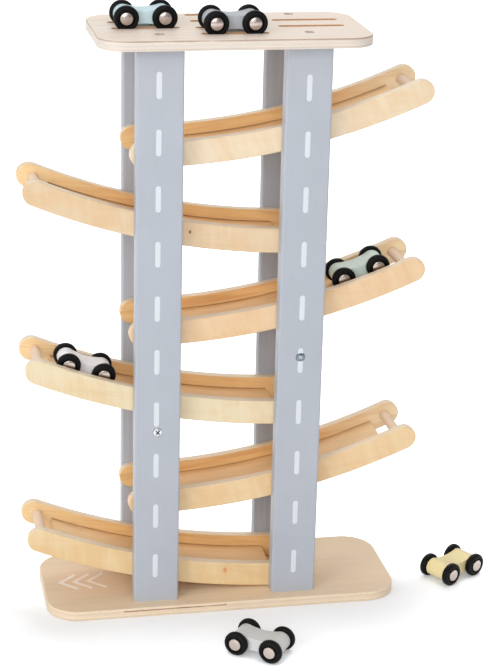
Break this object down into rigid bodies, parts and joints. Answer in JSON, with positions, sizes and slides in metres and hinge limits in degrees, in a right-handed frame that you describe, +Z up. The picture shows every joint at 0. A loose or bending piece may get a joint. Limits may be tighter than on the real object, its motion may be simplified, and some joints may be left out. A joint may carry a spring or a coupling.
{
  "type": "click clack car track toy",
  "caption": "Wooden tower with curved ramps in a zigzag between painted posts, parking slots on its top board and small rolling cars.",
  "frame": {"origin": "middle of the base board's underside, midway between the posts", "axes": "+X along the base board to the right as seen from the front, +Y to the back, +Z up"},
  "size_m": [0.4839, 0.2573, 0.6083],
  "materials": {
    "plywood": "clear satin lacquer on birch plywood",
    "rail_wood": "clear satin lacquer on solid wood",
    "post_paint": "satin pale blue-grey paint with white dashes",
    "dowel_wood": "bare turned wood",
    "screw_steel": "bright zinc",
    "axle_steel": "polished nickel caps",
    "wheel_black": "satin black",
    "blue_paint": "satin pale blue paint",
    "grey_paint": "satin grey paint",
    "mint_paint": "satin pale green paint",
    "white_paint": "satin white paint",
    "silver_paint": "satin light grey paint",
    "yellow_paint": "satin pale yellow paint"
  },
  "bodies": {
    "tower": {"base_board": "plywood", "top_board": "plywood", "front_left_post": "post_paint", "front_right_post": "post_paint", "back_left_post": "post_paint", "back_right_post": "post_paint", "ramp_1_front_rail": "rail_wood", "ramp_1_back_rail": "rail_wood", "ramp_1_floor": "plywood", "ramp_2_front_rail": "rail_wood", "ramp_2_back_rail": "rail_wood", "ramp_2_floor": "plywood", "ramp_3_front_rail": "rail_wood", "ramp_3_back_rail": "rail_wood", "ramp_3_floor": "plywood", "ramp_4_front_rail": "rail_wood", "ramp_4_back_rail": "rail_wood", "ramp_4_floor": "plywood", "ramp_5_front_rail": "rail_wood", "ramp_5_back_rail": "rail_wood", "ramp_5_floor": "plywood", "ramp_6_front_rail": "rail_wood", "ramp_6_back_rail": "rail_wood", "ramp_6_floor": "plywood", "stop_dowels": "dowel_wood", "rail_pins": "dowel_wood", "tie_dowels": "dowel_wood", "top_screws": "screw_steel", "base_screws": "screw_steel", "post_screws": "screw_steel"},
    "blue_car": {"blue_car_body": "blue_paint"},
    "blue_front_wheelset": {"blue_front_axle": "axle_steel", "blue_front_wheels": "wheel_black"},
    "blue_rear_wheelset": {"blue_rear_axle": "axle_steel", "blue_rear_wheels": "wheel_black"},
    "grey_car": {"grey_car_body": "grey_paint"},
    "grey_front_wheelset": {"grey_front_axle": "axle_steel", "grey_front_wheels": "wheel_black"},
    "grey_rear_wheelset": {"grey_rear_axle": "axle_steel", "grey_rear_wheels": "wheel_black"},
    "mint_car": {"mint_car_body": "mint_paint"},
    "mint_front_wheelset": {"mint_front_axle": "axle_steel", "mint_front_wheels": "wheel_black"},
    "mint_rear_wheelset": {"mint_rear_axle": "axle_steel", "mint_rear_wheels": "wheel_black"},
    "white_car": {"white_car_body": "white_paint"},
    "white_front_wheelset": {"white_front_axle": "axle_steel", "white_front_wheels": "wheel_black"},
    "white_rear_wheelset": {"white_rear_axle": "axle_steel", "white_rear_wheels": "wheel_black"},
    "silver_car": {"silver_car_body": "silver_paint"},
    "silver_front_wheelset": {"silver_front_axle": "axle_steel", "silver_front_wheels": "wheel_black"},
    "silver_rear_wheelset": {"silver_rear_axle": "axle_steel", "silver_rear_wheels": "wheel_black"},
    "yellow_car": {"yellow_car_body": "yellow_paint"},
    "yellow_front_wheelset": {"yellow_front_axle": "axle_steel", "yellow_front_wheels": "wheel_black"},
    "yellow_rear_wheelset": {"yellow_rear_axle": "axle_steel", "yellow_rear_wheels": "wheel_black"}
  },
  "joints": [
    {"name": "blue_lift", "type": "slide", "parent": "tower", "child": "blue_car", "axis": [0, 0, 1], "range_m": [0, 0.06]},
    {"name": "blue_front_wheels_turn", "type": "hinge", "parent": "blue_car", "child": "blue_front_wheelset", "pos_m": [-0.06125, 0, 0.5963], "axis": [0, 1, 0], "continuous": true},
    {"name": "blue_rear_wheels_turn", "type": "hinge", "parent": "blue_car", "child": "blue_rear_wheelset", "pos_m": [-0.09775, 0, 0.5963], "axis": [0, 1, 0], "continuous": true},
    {"name": "grey_lift", "type": "slide", "parent": "tower", "child": "grey_car", "axis": [0, 0, 1], "range_m": [0, 0.06]},
    {"name": "grey_front_wheels_turn", "type": "hinge", "parent": "grey_car", "child": "grey_front_wheelset", "pos_m": [0.01825, -0.032, 0.5963], "axis": [0, 1, 0], "continuous": true},
    {"name": "grey_rear_wheels_turn", "type": "hinge", "parent": "grey_car", "child": "grey_rear_wheelset", "pos_m": [-0.01825, -0.032, 0.5963], "axis": [0, 1, 0], "continuous": true},
    {"name": "mint_roll", "type": "hinge", "parent": "tower", "child": "mint_car", "pos_m": [-0.08, -0.006, 0.9636], "axis": [0, 1, 0], "range_deg": [-0.8, 15.2]},
    {"name": "mint_front_wheels_turn", "type": "hinge", "parent": "mint_car", "child": "mint_front_wheelset", "pos_m": [0.1544, -0.006, 0.34641], "axis": [0, 1, 0], "continuous": true},
    {"name": "mint_rear_wheels_turn", "type": "hinge", "parent": "mint_car", "child": "mint_rear_wheelset", "pos_m": [0.11993, -0.006, 0.3344], "axis": [0, 1, 0], "continuous": true},
    {"name": "white_roll", "type": "hinge", "parent": "tower", "child": "white_car", "pos_m": [0.08, -0.006, 0.874], "axis": [0, -1, 0], "range_deg": [-0.8, 15.2]},
    {"name": "white_front_wheels_turn", "type": "hinge", "parent": "white_car", "child": "white_front_wheelset", "pos_m": [-0.1544, -0.006, 0.25681], "axis": [0, -1, 0], "continuous": true},
    {"name": "white_rear_wheels_turn", "type": "hinge", "parent": "white_car", "child": "white_rear_wheelset", "pos_m": [-0.11993, -0.006, 0.2448], "axis": [0, -1, 0], "continuous": true},
    {"name": "silver_roll", "type": "slide", "parent": "tower", "child": "silver_car", "axis": [0.809, -0.5878, 0], "range_m": [-0.08, 0.2]},
    {"name": "silver_front_wheels_turn", "type": "hinge", "parent": "silver_car", "child": "silver_front_wheelset", "pos_m": [0.03027, -0.16773, 0.012], "axis": [0.5878, 0.809, 0], "continuous": true},
    {"name": "silver_rear_wheels_turn", "type": "hinge", "parent": "silver_car", "child": "silver_rear_wheelset", "pos_m": [0.00073, -0.14627, 0.012], "axis": [0.5878, 0.809, 0], "continuous": true},
    {"name": "yellow_roll", "type": "slide", "parent": "tower", "child": "yellow_car", "axis": [0.8572, 0.515, 0], "range_m": [-0.03, 0.2]},
    {"name": "yellow_front_wheels_turn", "type": "hinge", "parent": "yellow_car", "child": "yellow_front_wheelset", "pos_m": [0.26614, -0.0131, 0.012], "axis": [-0.515, 0.8572, 0], "continuous": true},
    {"name": "yellow_rear_wheels_turn", "type": "hinge", "parent": "yellow_car", "child": "yellow_rear_wheelset", "pos_m": [0.23486, -0.0319, 0.012], "axis": [-0.515, 0.8572, 0], "continuous": true}
  ],
  "couplings": [
    {"joint": "mint_front_wheels_turn", "follows": "mint_roll", "ratio": -56.017},
    {"joint": "mint_rear_wheels_turn", "follows": "mint_roll", "ratio": -56.017},
    {"joint": "white_front_wheels_turn", "follows": "white_roll", "ratio": -56.017},
    {"joint": "white_rear_wheels_turn", "follows": "white_roll", "ratio": -56.017},
    {"joint": "silver_front_wheels_turn", "follows": "silver_roll", "rad_per_m": 83.333},
    {"joint": "silver_rear_wheels_turn", "follows": "silver_roll", "rad_per_m": 83.333},
    {"joint": "yellow_front_wheels_turn", "follows": "yellow_roll", "rad_per_m": 83.333},
    {"joint": "yellow_rear_wheels_turn", "follows": "yellow_roll", "rad_per_m": 83.333}
  ]
}
